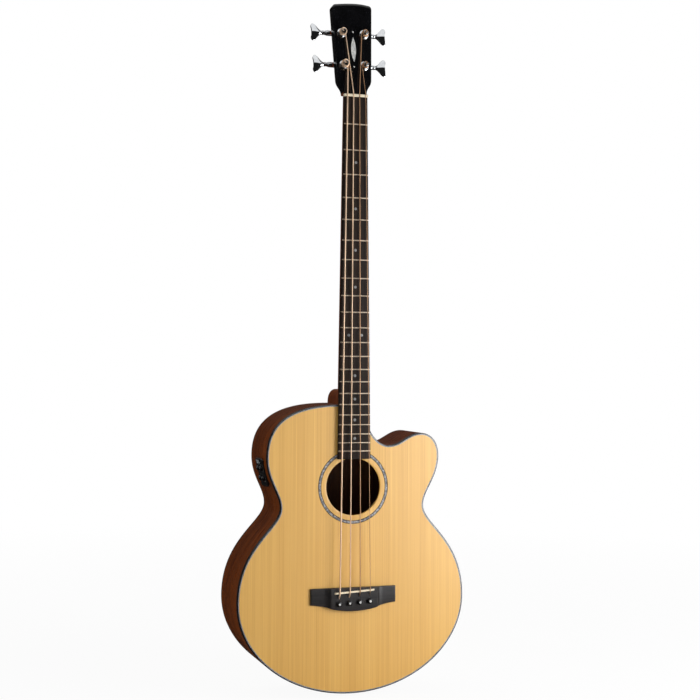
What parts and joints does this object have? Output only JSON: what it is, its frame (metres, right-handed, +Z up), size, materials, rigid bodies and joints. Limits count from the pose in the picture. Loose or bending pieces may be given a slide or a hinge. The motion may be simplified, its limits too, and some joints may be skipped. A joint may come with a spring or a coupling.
{
  "type": "acoustic bass guitar",
  "caption": "Hollow-bodied acoustic bass with a cutaway, round soundhole, long fretted neck, geared tuning machines and a preamp in its side.",
  "frame": {"origin": "the middle of the neck's yoke point, 20 mm above the nut and 8 mm in front of the soundboard's plane carried up the neck, where a stand or a wall hanger holds the head", "axes": "+Z up the neck from the tail to the head, +X to the treble side, where the cutaway is, and +Y from the soundboard to the back, so the player sees the front from -Y"},
  "size_m": [0.4174, 0.1341, 1.2191],
  "materials": {
    "spruce": "satin varnish",
    "brace_spruce": "bare",
    "pale_wood": "bare",
    "mahogany": "gloss varnish",
    "neck_mahogany": "satin varnish",
    "rosewood": "oiled",
    "bridge_wood": "satin",
    "binding": "gloss",
    "black_gloss": "high gloss lacquer",
    "black_plastic": "gloss",
    "panel_plastic": "matt",
    "rosette_pearl": "pearly",
    "inlay_pearl": "pearly",
    "bone": "polished",
    "bronze": "wound wire",
    "brass": "plain",
    "chrome": "polished",
    "steel": "plain",
    "rubber": "matt"
  },
  "bodies": {
    "guitar": {"soundboard": "spruce", "rosette": "rosette_pearl", "back_plate": "mahogany", "front_binding": "binding", "back_binding": "binding", "front_lining": "pale_wood", "back_lining": "pale_wood", "bass_side": "mahogany", "treble_side": "mahogany", "neck_block": "pale_wood", "tail_block": "pale_wood", "x_brace": "brace_spruce", "upper_brace": "brace_spruce", "bridge_plate": "pale_wood", "back_bracing": "brace_spruce", "neck": "neck_mahogany", "heel_cap": "binding", "truss_rod": "steel", "fretboard": "rosewood", "nut": "bone", "headstock_veneer": "black_gloss", "headstock_inlay": "inlay_pearl", "bridge": "bridge_wood", "saddle_pickup": "brass", "saddle": "bone", "bridge_pin_e": "black_plastic", "bridge_pin_a": "black_plastic", "bridge_pin_d": "black_plastic", "bridge_pin_g": "black_plastic", "string_e": "bronze", "string_a": "bronze", "string_d": "bronze", "string_g": "bronze", "tuner_housing_e": "chrome", "tuner_housing_a": "chrome", "tuner_housing_d": "chrome", "tuner_housing_g": "chrome", "tuner_ferrule_e": "chrome", "tuner_ferrule_a": "chrome", "tuner_ferrule_d": "chrome", "tuner_ferrule_g": "chrome", "preamp_panel": "panel_plastic", "preamp_case": "panel_plastic", "endpin_jack": "chrome", "battery": "panel_plastic", "output_lead": "rubber"},
    "key_e": {"tuner_key_e": "chrome"},
    "post_e": {"tuner_post_e": "chrome"},
    "key_a": {"tuner_key_a": "chrome"},
    "post_a": {"tuner_post_a": "chrome"},
    "key_d": {"tuner_key_d": "chrome"},
    "post_d": {"tuner_post_d": "chrome"},
    "key_g": {"tuner_key_g": "chrome"},
    "post_g": {"tuner_post_g": "chrome"},
    "rod_nut": {"truss_rod_nut": "steel"},
    "treble": {"treble_knob": "black_plastic"},
    "volume": {"volume_knob": "black_plastic"},
    "middle": {"middle_knob": "black_plastic"},
    "bass": {"bass_knob": "black_plastic"},
    "button": {"tuner_button": "black_plastic"}
  },
  "joints": [
    {"name": "key_e_turn", "type": "hinge", "parent": "guitar", "child": "key_e", "pos_m": [-0.019, 0.02146, 0.04223], "axis": [-1, 0, 0], "continuous": true},
    {"name": "post_e_turn", "type": "hinge", "parent": "guitar", "child": "post_e", "pos_m": [-0.019, -0.00154, 0.0379], "axis": [0, -0.9925, 0.1219], "continuous": true, "deforming": ["string_e"]},
    {"name": "key_a_turn", "type": "hinge", "parent": "guitar", "child": "key_a", "pos_m": [-0.0209, 0.02859, 0.1003], "axis": [-1, 0, 0], "continuous": true},
    {"name": "post_a_turn", "type": "hinge", "parent": "guitar", "child": "post_a", "pos_m": [-0.0209, 0.00559, 0.09597], "axis": [0, -0.9925, 0.1219], "continuous": true, "deforming": ["string_a"]},
    {"name": "key_d_turn", "type": "hinge", "parent": "guitar", "child": "key_d", "pos_m": [0.0209, 0.02859, 0.1003], "axis": [1, 0, 0], "continuous": true},
    {"name": "post_d_turn", "type": "hinge", "parent": "guitar", "child": "post_d", "pos_m": [0.0209, 0.00559, 0.09597], "axis": [0, -0.9925, 0.1219], "continuous": true, "deforming": ["string_d"]},
    {"name": "key_g_turn", "type": "hinge", "parent": "guitar", "child": "key_g", "pos_m": [0.019, 0.02146, 0.04223], "axis": [1, 0, 0], "continuous": true},
    {"name": "post_g_turn", "type": "hinge", "parent": "guitar", "child": "post_g", "pos_m": [0.019, -0.00154, 0.0379], "axis": [0, -0.9925, 0.1219], "continuous": true, "deforming": ["string_g"]},
    {"name": "rod_nut_turn", "type": "hinge", "parent": "guitar", "child": "rod_nut", "pos_m": [0, 0.0002, -0.60767], "axis": [0, 0, -1], "range_deg": [-180, 180]},
    {"name": "treble_turn", "type": "hinge", "parent": "guitar", "child": "treble", "pos_m": [-0.15513, 0.0218, -0.6708], "axis": [-0.9663, 0, -0.2575], "range_deg": [-150, 150]},
    {"name": "volume_turn", "type": "hinge", "parent": "guitar", "child": "volume", "pos_m": [-0.15513, 0.0398, -0.6708], "axis": [-0.9663, 0, -0.2575], "range_deg": [-150, 150]},
    {"name": "middle_turn", "type": "hinge", "parent": "guitar", "child": "middle", "pos_m": [-0.1505, 0.0218, -0.68819], "axis": [-0.9663, 0, -0.2575], "range_deg": [-150, 150]},
    {"name": "bass_turn", "type": "hinge", "parent": "guitar", "child": "bass", "pos_m": [-0.1505, 0.0398, -0.68819], "axis": [-0.9663, 0, -0.2575], "range_deg": [-150, 150]},
    {"name": "button_press", "type": "slide", "parent": "guitar", "child": "button", "axis": [0.9663, 0, 0.2575], "range_m": [0, 0.0008], "stiffness_N_per_m": 300, "springref_m": -0.0005}
  ],
  "couplings": [
    {"joint": "post_e_turn", "follows": "key_e_turn", "ratio": 0.05},
    {"joint": "post_a_turn", "follows": "key_a_turn", "ratio": 0.05},
    {"joint": "post_d_turn", "follows": "key_d_turn", "ratio": -0.05},
    {"joint": "post_g_turn", "follows": "key_g_turn", "ratio": -0.05}
  ]
}
